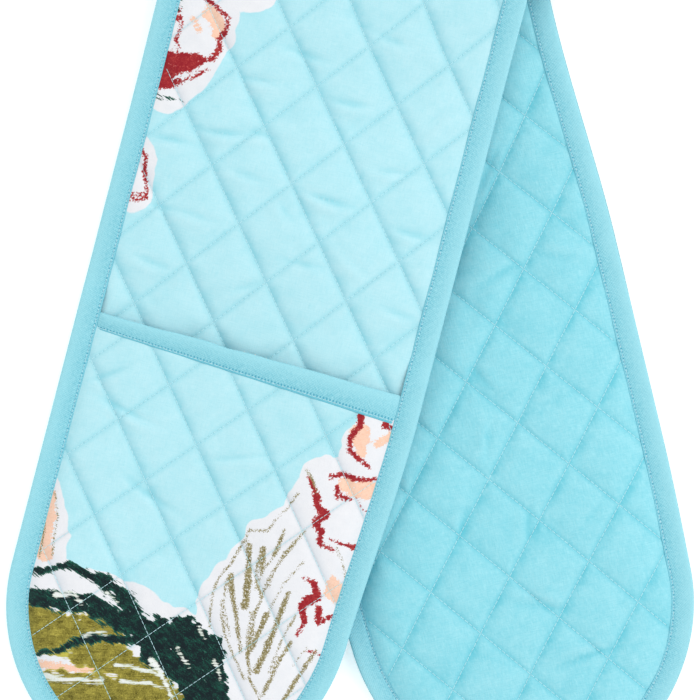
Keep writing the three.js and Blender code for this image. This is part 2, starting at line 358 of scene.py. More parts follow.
# Soft folds pressed into the cloth: u, v, half length, direction in degrees from u, depth.
STRIP_FOLDS = [
    (-40, 114, 15, -8, 0.55), (18, 134, 13, 5, 0.6), (18, 84, 11, -4, 0.45), (-62, 158, 9, 2, 0.4),
    (-66, 124, 10, -3, 0.5), (-22, 110, 12, 4, 0.3), (62, 140, 10, 3, 0.4), (-24, 132, 10, 6, 0.35),
    (40, 162, 12, 30, 0.25), (-44, 158, 12, 4, 0.35), (60, 82, 8, -50, 0.35), (-10, 186, 12, -30, 0.25),
    (-30, 84, 12, -6, 0.4), (46, 112, 12, -4, 0.4), (-60, 186, 11, 8, 0.4), (30, 48, 12, 10, 0.35),
    (14, 168, 11, -2, 0.35), (-10, 66, 12, 4, 0.35), (66, 180, 9, 6, 0.35), (-2, 144, 9, 40, 0.25),
]
LINING_FOLDS = [
    (12, -350, 16, -22, 0.6), (30, -182, 14, 18, 0.5), (4, -262, 12, 70, 0.45), (44, -250, 14, 8, 0.4),
    (30, -380, 20, 4, 0.7), (-18, -300, 12, 62, 0.5), (48, -310, 13, 40, 0.35), (36, -130, 13, 50, 0.55),
    (8, -232, 10, -60, 0.35), (58, -180, 12, -20, 0.4), (14, -308, 12, 75, 0.4),
]
POCKET_FOLDS = [
    (-52, 262, 16, 12, 0.45), (8, 270, 18, -20, 0.3), (-30, 300, 16, 20, 0.3), (-66, 246, 12, -34, 0.5),
    (30, 320, 14, 60, 0.3),
]


def folds(u, v, where):
    """Height of the pressed folds: each a slightly curved groove with a soft bank on one side."""
    total = 0.0
    for u0, v0, reach, angle, depth in where:
        c, s = direction(angle)
        p = (u - u0) * c + (v - v0) * s
        q = (v - v0) * c - (u - u0) * s + p * p / (reach * 20)
        shape = 0.75 * np.exp(-((q - 3.6) / 2.8) ** 2) - np.exp(-(q / 1.9) ** 2)
        total = total + 2.6 * depth * shape * np.exp(-1.3 * (p / reach) ** 2)
    return total


def edge_rise(u, v):
    """0 at the edge binding's seam, rising to 1 further in."""
    return rise(inset(u, v) - SEAM_INSET - 0.6, 3.0)


def strip_soft(u, v, side):
    """Puckers and pressed folds of one of the strip's faces."""
    pressed = folds(u, v, STRIP_FOLDS) if side > 0 else 0.7 * folds(u, v, LINING_FOLDS)
    return STRIP_QUILT.wrinkle(u, v, 11 + side) + pressed


def pocket_soft(u, v, end, side):
    """Puckers and pressed folds of one of a pocket's faces."""
    return POCKET_QUILT[end].wrinkle(u, v, 31 + side) + folds(u, v, POCKET_FOLDS)


def strip_face(u, v, side):
    """Height of one of the strip's faces. The printed face is flatter inside a pocket."""
    in_pocket = smooth(MOUTH_AT, MOUTH_AT + 16, np.abs(v)) * (side > 0)
    puff = PUFF * STRIP_QUILT.puff(u, v) * (1 - FLATTENED_IN_POCKET * in_pocket)
    soft = np.sqrt(STRIP_QUILT.crease(u, v)) * strip_soft(u, v, side)
    return side * (SEAM_LEVEL + edge_rise(u, v) * (puff + soft))


def mouth_line(u, end):
    """Where the pocket's mouth crosses the strip at u."""
    return MOUTH_AT + MOUTH_SKEW * u * end


def mouth_seam(u, end, share=1.0):
    """The lower edge of the mouth's binding, or a line at that share of the binding's width."""
    return mouth_line(u, end) + share * (MOUTH_BINDING_WIDTH + MOUTH_BINDING_TAPER * u * end)


def pocket_face(u, v, end, side):
    """Height of one of a pocket's faces."""
    lift = edge_rise(u, v) * rise(np.abs(v) - mouth_seam(u, end) + 1, 3.5)
    quilt = POCKET_QUILT[end]
    soft = np.sqrt(quilt.crease(u, v)) * pocket_soft(u, v, end, side)
    bulge = POCKET_LEVEL + lift * (POCKET_PUFF * quilt.puff(u, v) + soft)
    return pocket_middle(u, v) + side * bulge


# ---- printed pattern
#
# Loosely brushed flowers and leaves, drawn as strokes on the front half and mirrored on the back
# half: half width at the start and at the end, then u and v of each point that the stroke passes.

STROKES = {"halo": [
    (13, 12, -52, 20, -43, 41), (10, 12, -70, 34, -60, 36), (17, 17, -86, 48, -66, 50, -64, 66),
    (17, 13, -66, 74, -68, 86, -75, 98), (11, 11, -85, 131, -80, 140, -78, 153),
    (17.5, 17, 77, 241, 72, 250), (16, 14, 64, 272, 72, 290), (10, 14, 50, 268, 48, 286),
    (13, 15, 44, 296, 34, 308, 28, 326), (16, 18, 24, 332, 22, 348, 40, 372),
    (24, 22, 60, 318, 58, 352, 58, 400), (22, 22, 44, 316, 44, 350, 46, 400),
    (8, 12, -86, 306, -77, 324, -75, 342), (8, 9, -86, 350, -66, 350, -46, 352, -26, 352),
    (11, 13, -26, 354, -6, 362, 16, 366), (28, 30, -84, 384, -44, 388, 0, 396, 34, 404),
    (26, 26, -50, 412, 0, 420, 44, 408),
], "peach": [
    (4, 3, -50, 26, -45, 31), (4, 3.4, -62, 57, -57, 62, -56, 66), (1.4, 1.8, -70, 62, -66, 67),
    (4.5, 3, 63, 243, 66, 251), (2, 1.4, 73, 246, 79, 240), (3.6, 4.4, 62, 270, 69, 271, 78, 269),
    (5, 6, 70, 321, 77, 326), (2.2, 3.4, -80, 311, -77, 322, -75, 342),
    (1.6, 1.5, -66, 397, -50, 394, -30, 391), (3, 2, 40, 425, 30, 430),
], "burgundy": [
    (1.5, 1.1, -56, 14, -47, 17, -40, 24, -41, 33, -47, 39),
    (1.4, 1.7, -66, 51, -59, 54, -53, 57, -52, 64, -55, 69, -53, 74, -55, 79),
    (1.3, 1, -78, 59, -75, 67, -76, 75, -72, 82), (1.8, 1.2, -82, 66, -77, 65),
    (5.5, 3, -82, 89, -73, 84, -64, 82), (4.5, 2, -82, 94, -72, 90, -60, 82),
    (2, 1.2, -68, 82, -56, 80), (3.2, 2.4, -83, 99, -74, 97),
    (1.8, 0.9, -74, 98, -67, 94, -60, 88, -56, 85),
    (1.4, 1.1, -82, 130, -76, 135, -75, 142, -72, 148, -70, 155, -76, 158, -84, 160),
    (1.6, 0.9, -84, 153, -77, 155, -71, 153), (1, 0.6, -84, 158, -76, 155),
    (2, 1.5, 61, 230, 62, 240, 59, 246, 60, 252, 65, 255, 71, 258), (2.2, 1.4, 75, 236, 82, 238),
    (1.8, 1.1, 55, 267, 60, 265, 67, 266, 78, 263), (1.9, 1.1, 59, 272, 60, 276, 67, 276),
    (0.5, 0.5, 69, 274, 74, 279, 80, 282), (1, 2.3, 43, 270, 49, 276, 52, 283),
    (2.3, 2.2, 52, 283, 57, 286, 53, 292, 57, 296), (2.2, 1, 57, 296, 58, 301, 65, 303),
    (0.9, 1.6, 61, 298, 69, 299, 78, 299), (1.2, 2.4, 54, 320, 60, 321, 63, 327),
    (2.8, 1, 63, 327, 57, 333, 60, 341, 58, 349), (1.9, 1.3, 66, 333, 67, 340, 75, 334),
    (1.3, 0.7, 66, 355, 72, 356), (1.6, 0.8, 28, 424, 36, 420, 44, 424, 42, 431),
], "olive": [
    (8, 9, -82, 376, -66, 375, -50, 375, -36, 371), (7, 4, -78, 387, -62, 385, -50, 381),
    (6, 9, -44, 386, -24, 384, -6, 391), (8, 9, -56, 406, -34, 402, -14, 400, 2, 402),
    (9, 7, 4, 398, 18, 404), (8, 5, -44, 420, -16, 424, 6, 420),
], "yellow": [
    (2.2, 3, -56, 388, -46, 385, -36, 381), (1.5, 1.5, -30, 412, -12, 414),
], "green": [
    (1.6, 0.9, -70, 40, -64, 33, -60, 26), (1.4, 0.8, -85, 51, -78, 56), (2, 1.6, -84, 61, -78, 60),
    (1.3, 0.3, -83, 101, -76, 105, -66, 104), (1.3, 1, -82, 108, -80, 106),
    (1.6, 2.4, -86, 353, -76, 351, -67, 346, -58, 344, -49, 347),
    (2.6, 4.5, -49, 347, -38, 348, -29, 352, -20, 361), (1.3, 2.4, -42, 351, -34, 353, -27, 358),
    (4.4, 5, -86, 364, -68, 363, -52, 361, -40, 361), (5.4, 5, -40, 361, -26, 365, -14, 369),
    (8, 11, -14, 367, 0, 364, 13, 368), (11, 9, 8, 370, 20, 381, 27, 396),
    (7, 6, -10, 376, 6, 380, 16, 390), (1.2, 2.4, -67, 393, -56, 386, -45, 378),
    (2.4, 2, -45, 378, -31, 374, -17, 372), (4, 3, -30, 431, 4, 432, 24, 424),
], "white": [
    (1.3, 0.5, -64, 359, -55, 358, -50, 361), (0.8, 0.5, -26, 387, -14, 385, -4, 386),
    (0.9, 0.4, -22, 394, -8, 391, 4, 392), (1.6, 0.6, -10, 380, 0, 388, 6, 396),
    (0.8, 0.3, 10, 358, 14, 363), (0.5, 0.3, -40, 352, -33, 355), (1.5, 0.7, -60, 401, -46, 400, -30, 396),
    (0.7, 0.3, 2, 371, 10, 378), (0.6, 0.3, 22, 372, 27, 381), (0.8, 0.3, -46, 377, -40, 373, -33, 371),
], "pencil": [
    (0.8, 0.6, 42, 267, 46, 271, 50, 277), (0.5, 0.6, 41, 279, 37, 289, 33, 296, 31, 302, 22, 304, 20, 312),
    (0.7, 0.5, 20, 313, 17, 322, 13, 332, 12, 342, 15, 356), (0.5, 0.7, 17, 342, 22, 356, 30, 367, 38, 377),
    (0.5, 0.9, 49, 297, 42, 310, 37, 326, 35, 345, 37, 366), (0.9, 0.6, 37, 366, 41, 376, 49, 386),
    (0.5, 0.5, 66, 301, 71, 308, 75, 316), (1.6, 1.9, 24, 311, 27, 324, 29, 341),
    (1.5, 0.8, 31, 311, 33, 324), (1.4, 0.8, 19, 328, 23, 340, 28, 352, 33, 364),
    (0.5, 0.8, 30, 316, 31, 326, 36, 336), (0.8, 1.2, 39, 299, 37, 312),
    (0.4, 0.5, 39, 308, 34, 320, 32, 332), (1.2, 1.6, 49, 330, 47, 344, 43, 371),
    (1.4, 0.9, 41, 343, 39, 354, 38, 362), (0.5, 0.4, 52, 312, 45, 326, 41, 344),
    (0.4, 0.4, 46, 304, 40, 318, 38, 330), (0.6, 0.5, 55, 339, 51, 354, 49, 370),
    (1, 1.2, 56, 353, 52, 366, 49, 382), (0.5, 0.4, 17, 331, 19, 344, 26, 358),
    (0.9, 1.2, 69, 354, 64, 370, 59, 385), (0.4, 0.3, 65, 353, 60, 364),
    (0.5, 0.4, 33, 343, 34, 356, 38, 368), (0.5, 0.4, -82, 305, -77, 312, -73, 322, -71, 341),
    (0.6, 0.4, -81, 317, -78, 330, -77, 343), (0.8, 0.6, 40, 392, 46, 402, 48, 416),
    (0.8, 0.5, 60, 392, 54, 404, 44, 414), (0.6, 0.5, 30, 398, 38, 406, 44, 418),
]}
INKS = {"ink_a": ("halo", "peach", "burgundy"), "ink_b": ("olive", "green", "pencil"),
        "ink_c": ("yellow", "white")}
WOBBLE = {"halo": 1.4, "pencil": 0.4, "peach": 0.8, "burgundy": 0.6}
USUAL_WOBBLE = 0.9
FAR_FROM_INK = 99.0


def ink_distance(u, v, ink):
    """Distance in millimetres from an ink's edge, below 0 inside it."""
    def wobble(seed):
        coarse, fine = value_noise(u / 7, v / 7, seed), value_noise(u / 2.7, v / 2.7, seed + 1)
        return WOBBLE.get(ink, USUAL_WOBBLE) * (coarse + 0.4 * fine)

    u = u + wobble(41)
    v = v + wobble(43)
    ragged = 1.0 if ink == "halo" else 1 + 0.35 * value_noise(u / 3.1, v / 3.1, 45)
    best = np.full(u.shape, FAR_FROM_INK)
    for start, finish, *line in STROKES[ink]:
        points = np.reshape(np.array(line, float), (-1, 2))
        run = run_along(points)
        for k, (du, dv) in enumerate(np.diff(points, axis=0)):
            from_u, from_v = u - points[k, 0], v - points[k, 1]
            t = np.clip((from_u * du + from_v * dv) / (du * du + dv * dv), 0, 1)
            share = (run[k] + t * (run[k + 1] - run[k])) / run[-1]
            width = ragged * (start + (finish - start) * share)
            best = np.minimum(best, np.hypot(from_u - t * du, from_v - t * dv) - width)
    return best


def print_fields(u, v):
    """Vertex attributes of the printed pattern at points of the flat strip."""
    end = np.where(from_fold(u, v) >= 0, 1.0, -1.0)
    return {name: np.stack([ink_distance(u * end, np.abs(v), ink) for ink in inks], -1)
            for name, inks in INKS.items()}


# ---- mesh making

def new_piece(name, points, faces, material, attributes=(), normals=None):
    mesh = bpy.data.meshes.new(name)
    mesh.from_pydata(points, [], faces)
    mesh.shade_smooth()
    for key, values in dict(attributes).items():
        values = np.pad(values, ((0, 0), (0, 3 - values.shape[1]))).astype(np.float32)
        mesh.attributes.new(key, "FLOAT_VECTOR", "POINT").data.foreach_set("vector", values.ravel())
    if normals is not None:
        mesh.normals_split_custom_set_from_vertices(normals)
    mesh.update()
    piece = add_object(name, mesh)
    mesh.materials.append(MATERIALS[material])
    return piece


def lattice(quilt, span, divisions):
    """Points on a grid that follows the seams, closer together near a seam."""
    t = np.linspace(0, 1, divisions, endpoint=False)
    t = t - 0.07 * np.sin(2 * np.pi * t)
    lines = [(np.arange(*counts)[:, None] + t).ravel() for counts in quilt.span(*span)]
    a, b = np.meshgrid(*lines, indexing="ij")
    return (*quilt.uv(a, b), a, b)


def unit(n):
    return n / np.maximum(np.linalg.norm(n, axis=-1, keepdims=True), 1e-12)


def sheet_piece(name, material, grid, wanted, outer, inner, soft=None, printed=False):
    """A closed sheet over the grid's quads that are wanted, between its outer and inner heights."""
    u, v, a, b = grid
    keep = wanted((u[:-1, :-1] + u[1:, 1:]) / 2, (v[:-1, :-1] + v[1:, 1:]) / 2)
    quads = grid_quads(np.arange(u.size).reshape(u.shape))[keep]
    used, quads = np.unique(quads, return_inverse=True)
    quads = quads.reshape(-1, 4)
    top, bottom = place(u, v, outer(u, v)), place(u, v, inner(u, v))
    up, down = (unit(np.cross(np.gradient(p, axis=0), np.gradient(p, axis=1))) for p in (top, bottom))
    if np.sum(up * (top - bottom)) < 0:
        quads, up = quads[:, ::-1], -up
    else:
        down = -down
    n = len(used)
    edges = np.concatenate([quads[:, [k, (k + 1) % 4]] for k in range(4)])
    rim = edges[~np.isin(edges @ [n, 1], edges @ [1, n])]
    walls = np.stack([rim[:, 1], rim[:, 0], rim[:, 0] + n, rim[:, 1] + n], -1)
    faces = np.concatenate([quads, quads[:, ::-1] + n, walls])
    points, normals = (np.concatenate([layer.reshape(-1, 3)[used] for layer in layers])
                       for layers in ((top, bottom), (up, down)))
    u, v, a, b = (t.ravel()[used] for t in grid)
    values = {"flat": np.stack([u, v], -1) * MM,
              "quilt": np.stack([a, b, soft(u, v) if soft else 0 * u], -1)}
    if printed:
        values |= print_fields(u, v)
    values = {key: np.concatenate([value, value]) for key, value in values.items()}
    return new_piece(name, points, faces.tolist(), material, values, normals)


def cloth_piece(name, grid, wanted, face, side, soft=None):
    """The printed cloth (side 1) or the lining (side -1), with its visible side at the face's height."""
    return sheet_piece(name, "printed_cotton" if side > 0 else "cotton_lining", grid, wanted,
                       lambda u, v: face(u, v, side), lambda u, v: face(u, v, side) - side * FABRIC,
                       soft and (lambda u, v: soft(u, v, side)), side > 0)


def tube_quads(ids):
    """The quads round a tube, from point numbers in rings."""
    following = np.roll(ids, -1, axis=-1)
    return np.stack([ids[..., :-1, :], following[..., :-1, :],
                     following[..., 1:, :], ids[..., 1:, :]], -1).reshape(-1, 4)


def tape_piece(name, lines):
    """A closed tape along a path. Each line along it is (points, then where they are on the flat
    tape: across it, along it and in from its edge, in millimetres)."""
    sections = np.stack([points for points, *_ in lines], 1)
    flat = np.stack([np.stack(np.broadcast_arrays(*where), -1) for _, *where in lines], 1) * MM
    ids = np.arange(sections[..., 0].size).reshape(sections.shape[:2])
    quads = tube_quads(ids)
    faces = quads.tolist() + [ids[0][::-1].tolist(), ids[-1].tolist()]
    round_it = np.roll(sections, -1, axis=1) - np.roll(sections, 1, axis=1)
    normals = unit(np.cross(round_it, np.gradient(sections, axis=0)))
    if np.sum(normals * (sections - sections.mean(1, keepdims=True))) < 0:
        normals = -normals
    points, normals = sections.reshape(-1, 3), normals.reshape(-1, 3)
    a, b, c = points[quads[:, :3].T]
    if np.sum(np.cross(b - a, c - a) * normals[quads[:, 0]]) < 0:
        faces = [face[::-1] for face in faces]
    return new_piece(name, points, faces, "bias_binding", {"flat": flat.reshape(-1, 3)}, normals)


# ---- sewing thread

# A stitch: where its four points are along it, its radius and its height over the cloth there, and
# how much of its step it fills on a quilting seam and on a binding.
STITCH_POINTS = np.array([-0.5, -0.3, 0.3, 0.5])
STITCH_RADIUS = 0.15 * np.array([0.5, 1.0, 1.0, 0.5])
STITCH_LIFT = np.array([-0.12, 0.12, 0.12, -0.12])
STITCH_SIDES = 5
SEAM_FILL, BINDING_FILL = 0.94, 0.78


def thread_piece(name, material, rows):
    """Stitches, each a short spindle along four points. A row is (u, v, height, side of the cloth)."""
    angle = 2 * np.pi * np.arange(STITCH_SIDES) / STITCH_SIDES
    w = STITCH_RADIUS[:, None] * np.cos(angle)
    h = STITCH_RADIUS[:, None] * np.sin(angle) + STITCH_LIFT[:, None]
    points, faces, total = [], [], 0
    for u, v, height, side in rows:
        along = np.stack([u[:, -1:] - u[:, :1], v[:, -1:] - v[:, :1]])
        du, dv = (along / np.hypot(*along))[..., None]
        spindles = place(u[..., None] - dv * w, v[..., None] + du * w, height[..., None] + side * h)
        points.append(spindles.reshape(-1, 3))
        ids = total + np.arange(u.size * STITCH_SIDES).reshape(*u.shape, STITCH_SIDES)
        total += ids.size
        faces += tube_quads(ids).tolist() + ids[:, 0, ::-1].tolist() + ids[:, -1].tolist()
    return new_piece(name, np.concatenate(points), faces, material)


def quilting_thread(name, quilt, span, wanted, face, side):
    """Stitches along every quilting seam, where they are wanted."""
    counts = quilt.span(*span)
    rows = []
    for k in range(2):
        lines = np.arange(counts[k, 0], counts[k, 1] + 1)
        stitches = np.arange(*counts[1 - k] * STITCHES_PER_CELL) + 0.5
        line, stitch = np.meshgrid(lines, stitches, indexing="ij")
        t = (stitch.ravel()[:, None] + SEAM_FILL * STITCH_POINTS) / STITCHES_PER_CELL
        fixed = np.broadcast_to(line.ravel()[:, None], t.shape).astype(float)
        u, v = quilt.uv(*((fixed, t) if k == 0 else (t, fixed)))
        keep = wanted(u[:, 1], v[:, 1])
        u, v = u[keep], v[keep]
        rows.append((u, v, face(u, v, side), side))
    return thread_piece(name, "thread", rows)


def binding_thread(name, path, over, under):
    """Stitches at even steps along a path on the flat strip, at one height on each face."""
    run = run_along(path)
    count = int(run[-1] / BINDING_STITCH)
    middles = (np.arange(count)[:, None] + 0.5) * run[-1] / count
    t = middles + STITCH_POINTS * BINDING_FILL * BINDING_STITCH
    u, v = (np.interp(t, run, path[:, k]) for k in range(2))
    return thread_piece(name, "binding_thread", [(u, v, over(u, v), 1), (u, v, under(u, v), -1)])


# ---- the glove's pieces

# A tape's far face has its own place on the flat tape, this far from the near face's.
FAR_FACE = 30

# The edge binding's section: distance in from the outline, and height over the seam level. Places
# along the tape are measured on its middle line.
BINDING_SECTION = [
    (11.7, 0.15), (11.45, 0.6), (10.9, 0.64), (10.4, 0.48), (9.8, 0.7), (8.6, 0.92), (6.6, 1.08),
    (4.2, 1.12), (2.2, 0.98), (1.0, 0.6), (0.35, 0.1),
]
BINDING_MIDDLE = 6.0
BINDING_LIP = 11.7


def end_path(end, d):
    """A line round one end of the strip at inset d, from the left end of the fold to its right end."""
    r = HALF_WIDTH - d
    lean = end * r * SIN / COS
    left, right = np.linspace(lean, CAP_START, 176), np.linspace(CAP_START, -lean, 176)
    angle = np.linspace(np.pi, 0, 141)[1:-1]
    u = np.concatenate([np.full_like(left, -r), r * np.cos(angle), np.full_like(right, r)])
    v = end * np.concatenate([left, CAP_START + r * np.sin(angle), right])
    return np.stack([u - drawn_in(u, v), v], -1)


def pocket_edge(v):
    """Thickness that the pocket adds under the edge binding."""
    return POCKET_SEAM * smooth(MOUTH_AT - 20, MOUTH_AT - 3, np.abs(v))


def edge_binding(name, end):
    """The tape folded over one half's edge."""
    ring = [(d, h, 1) for d, h in BINDING_SECTION] + [(0.0, -SEAM_LEVEL, 1)]
    ring += [(d, h, -1) for d, h in reversed(BINDING_SECTION)]
    ring += [(11.4, 0.0, -1), (3.0, -0.4, -1), (3.0, -0.4, 1), (11.4, 0.0, 1)]
    run = run_along(end_path(end, BINDING_MIDDLE))
    lines = []
    for d, h, side in ring:
        u, v = end_path(end, d).T
        added = pocket_edge(v) if side > 0 else 0
        loose = min(max(h, 0), 1) * (BINDING_LIP - d) / BINDING_LIP
        wave = loose * (0.3 * value_noise(run / 11.0, d * 0.12, 3 * side)
                        + 0.16 * value_noise(run / 3.6 + d * 0.5, d * 0.2, 5 * side))
        points = place(u, v, side * (SEAM_LEVEL + h + wave) + added)
        lines.append((points, d + FAR_FACE * (side < 0), run, d))
    return tape_piece(name, lines)


def set_up(name, pieces, last_node, threads, bend):
    """Hides the CAD nodes that the pieces replace, and bakes the transforms of the pieces and threads into
    their meshes. The bend that it is given is not used."""
    printed, wadding, lining, binding = pieces
    for piece, node in zip(pieces, ("outer_fabric", "wadding", "lining", last_node)):
        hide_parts(f"{name}_{node}")
    for piece in (*pieces, *threads):
        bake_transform(piece)
    for piece, more in ((printed, [binding, *threads]), (lining, ())):
        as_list(more)


# Points on the turn of the fold, from the flat cloth to the fold's foremost line: forward of the fold's
# axis, and above or below it.
BEND_START, BEND_FINISH = (1.0, 8.0), (7.8, 1.4)
WADDING_SHARE = 0.35


def add_half(name, end):
    """One half of the strip: its three layers, its binding and its thread."""
    span = sorted((end * -25, end * 440))

    def within(least):
        return lambda u, v: (inset(u, v) > least) & (from_fold(u, v) * end > 0)

    def padding(side):
        return lambda u, v: WADDING_SHARE * (strip_face(u, v, side) - side * FABRIC)

    fine, rough = lattice(STRIP_QUILT, span, 21), lattice(STRIP_QUILT, span, 8)
    pieces = (
        cloth_piece(f"{name}_strip_print", fine, within(2.2), strip_face, 1, strip_soft),
        sheet_piece(f"{name}_strip_wadding", "wadding", rough, within(5.5), padding(1), padding(-1)),
        cloth_piece(f"{name}_strip_lining", fine, within(2.2), strip_face, -1, strip_soft),
        edge_binding(f"{name}_binding", end),
    )
    sewn = within(SEWN_INSET)
    threads = (
        quilting_thread(f"{name}_quilting_thread", STRIP_QUILT, span, sewn, strip_face, 1),
        quilting_thread(f"{name}_lining_thread", STRIP_QUILT, span, sewn, strip_face, -1),
        binding_thread(f"{name}_binding_thread", end_path(end, SEAM_INSET),
                       lambda u, v: SEAM_LEVEL + 0.5 + pocket_edge(v),
                       lambda u, v: -SEAM_LEVEL - 0.5 + 0 * v),
    )
    start, finish = ((0, (FOLD_Y + forward) * MM, (FOLD_Z + end * up) * MM)
                     for forward, up in (BEND_START, BEND_FINISH))
    set_up(name, pieces, "edge_binding", threads, (f"{name}_half", "fold_band", start, finish))


# The mouth binding's section: distance from the mouth, height over the pocket's level, side.
MOUTH_SECTION = [
    (12.3, 0.1, 1), (12.1, 0.5, 1), (11.5, 0.52, 1), (11.0, 0.4, 1), (10.4, 0.62, 1), (9.2, 0.95, 1),
    (6.5, 1.25, 1), (3.4, 1.2, 1), (1.4, 0.85, 1), (0.4, 0.2, 1), (0.1, -POCKET_LEVEL, 1), (0.4, 0.2, -1),
    (1.4, 0.85, -1), (4.0, 1.1, -1), (8.0, 1.1, -1), (11.0, 0.5, -1), (12.0, 0.1, -1), (11.8, -0.1, -1),
    (4.0, -0.5, -1), (4.0, -0.5, 1), (11.8, -0.1, 1),
]
MOUTH_SECTION_SEAM = 12.0
MOUTH_SECTION_LIP = 12.3


def mouth_binding(name, end, hand):
    """The tape folded over one half of a pocket's open edge."""
    u = hand * np.linspace(HALF_WIDTH - 8, 0, 70)
    free = 0.25 + 0.75 * rise(HALF_WIDTH - np.abs(u) - SEAM_INSET, 2.5)
    lines = []
    for from_mouth, h, side in MOUTH_SECTION:
        slack = 0.45 * value_noise(u / 12, 3, 6) * (1 - from_mouth / MOUTH_SECTION_LIP)
        wave = 0.16 * value_noise(u / 4.1 + from_mouth * 0.4, from_mouth * 0.2, 9) * min(max(h, 0), 1)
        v = mouth_seam(u, end, from_mouth / MOUTH_SECTION_SEAM) + slack
        points = place(u, end * v, pocket_middle(u, v) + side * free * (POCKET_LEVEL + h + wave))
        lines.append((points, from_mouth + FAR_FACE * (side < 0), u, from_mouth))
    return tape_piece(name, lines)


def add_pocket(name, end):
    """One pocket, as a left and a right half: their three layers, their bindings and their thread."""
    span = sorted((end * (MOUTH_AT - 4), end * 440))
    quilt = POCKET_QUILT[end]
    fine, rough = lattice(quilt, span, 32 if end > 0 else 18), lattice(quilt, span, 10)
    face = lambda u, v, side: pocket_face(u, v, end, side)
    soft = lambda u, v, side: pocket_soft(u, v, end, side)

    def padding(side):
        return lambda u, v: (0.4 * face(u, v, -side) + 0.6 * face(u, v, side) - side * 0.5 * FABRIC)

    for hand, label in ((-1, "left"), (1, "right")):
        def within(least, top):
            return lambda u, v: (inset(u, v) > least) & (np.abs(v) > top(u)) & ((u >= 0) == (hand > 0))

        panel, padded = (within(least, lambda u: mouth_line(u, end) + 2.5) for least in (5, 7))
        pieces = (
            cloth_piece(f"{name}_print_{label}", fine, panel, face, 1, soft),
            sheet_piece(f"{name}_wadding_{label}", "wadding", rough, padded, padding(1), padding(-1)),
            cloth_piece(f"{name}_lining_{label}", rough, panel, face, -1),
            mouth_binding(f"{name}_mouth_{label}", end, hand),
        )
        sewn = within(SEWN_INSET, lambda u: mouth_seam(u, end) + 0.5)
        u = hand * np.linspace(HALF_WIDTH - 12, 0.5, 80)
        path = np.stack([u, end * mouth_seam(u, end, 0.92)], -1)
        threads = (
            quilting_thread(f"{name}_quilting_thread_{label}", quilt, span, sewn, face, 1),
            binding_thread(f"{name}_mouth_thread_{label}", path,
                           lambda u, v: pocket_middle(u, v) + POCKET_LEVEL + 0.4,
                           lambda u, v: pocket_middle(u, v) - POCKET_LEVEL - 0.5),
        )
        seam, middle = (place(hand * x, end * 300, 0) for x in (HALF_WIDTH - 13, 3.0))
        middle[2] = seam[2]
        set_up(name, pieces, "mouth_binding", threads,
               (f"{name.split('_')[0]}_half", name, seam, middle))


# The hanging loop. Its section is given as (0 on its outer or 1 on its inner face, place across it).
LOOP_SECTION = [(0, -1), (0, -0.86), (0, 0), (0, 0.86), (0, 1),
                (1, 1), (1, 0.86), (1, 0), (1, -0.86), (1, -1)]
LOOP_LENGTH, LOOP_HALF_HEIGHT, LOOP_TAPE, LOOP_WIDTH = 37.0, 6.2, 1.2, 8.4
LOOP_RUN = 80
DROOP_COS, DROOP_SIN = direction(19)


def add_hanging_loop():
    """A loop of tape at the middle of the strip's right edge, which droops to the floor."""
    root = place(HALF_WIDTH - 3, 0.0, 0.0)
    t = np.linspace(0, 1, 61)
    reach = 1 - np.abs(2 * t - 1)
    side = np.where(t < 0.5, 1, -1)
    half = LOOP_HALF_HEIGHT * np.sin(np.pi * reach) ** 0.8 * (0.55 + 0.75 * reach)
    lines = []
    for deep, across in LOOP_SECTION:
        along = (LOOP_LENGTH - deep * LOOP_TAPE * reach) * np.sin(np.pi * reach / 2)
        high = side * np.maximum(half - deep * LOOP_TAPE, 0.05 if deep else LOOP_TAPE)
        high = np.where(reach > 0.999, 0, high) - side * 0.16 * (abs(across) == 1) * (-1 if deep else 1)
        out, up = along * DROOP_COS + high * DROOP_SIN, high * DROOP_COS - along * DROOP_SIN
        w = across * LOOP_WIDTH / 2
        points = root + np.stack([out, np.full_like(t, w), up], -1) * MM
        lines.append((points, w + 20 + FAR_FACE * deep, t * LOOP_RUN, 5))
    piece = tape_piece("loop_tape", lines)
    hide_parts("hanging_loop")
    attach(piece, "hanging_loop")


# ---- materials

def linear(r, g, b):
    """A screen colour from 0 to 255 as the shaders' linear colour."""
    values = [c / 255 for c in (r, g, b)]
    return tuple(c / 12.92 if c <= 0.04045 else ((c + 0.055) / 1.055) ** 2.4 for c in values) + (1.0,)


WHITE = (1.0, 1.0, 1.0, 1.0)


def fill(node, inputs):
    """Sets a node's inputs, by name or number, to a constant or to another node's result."""
    for key, value in inputs.items():
        if isinstance(value, Value):
            node.id_data.links.new(value.socket, node.inputs[key])
        else:
            node.inputs[key].default_value = value


def add_node(tree, kind, inputs, output=0, **settings):
    """Adds a node, fills it and gives its result."""
    node = tree.nodes.new("ShaderNode" + kind)
    for key, value in settings.items():
        setattr(node, key, value)
    fill(node, inputs)
    return Value(node.outputs[output])


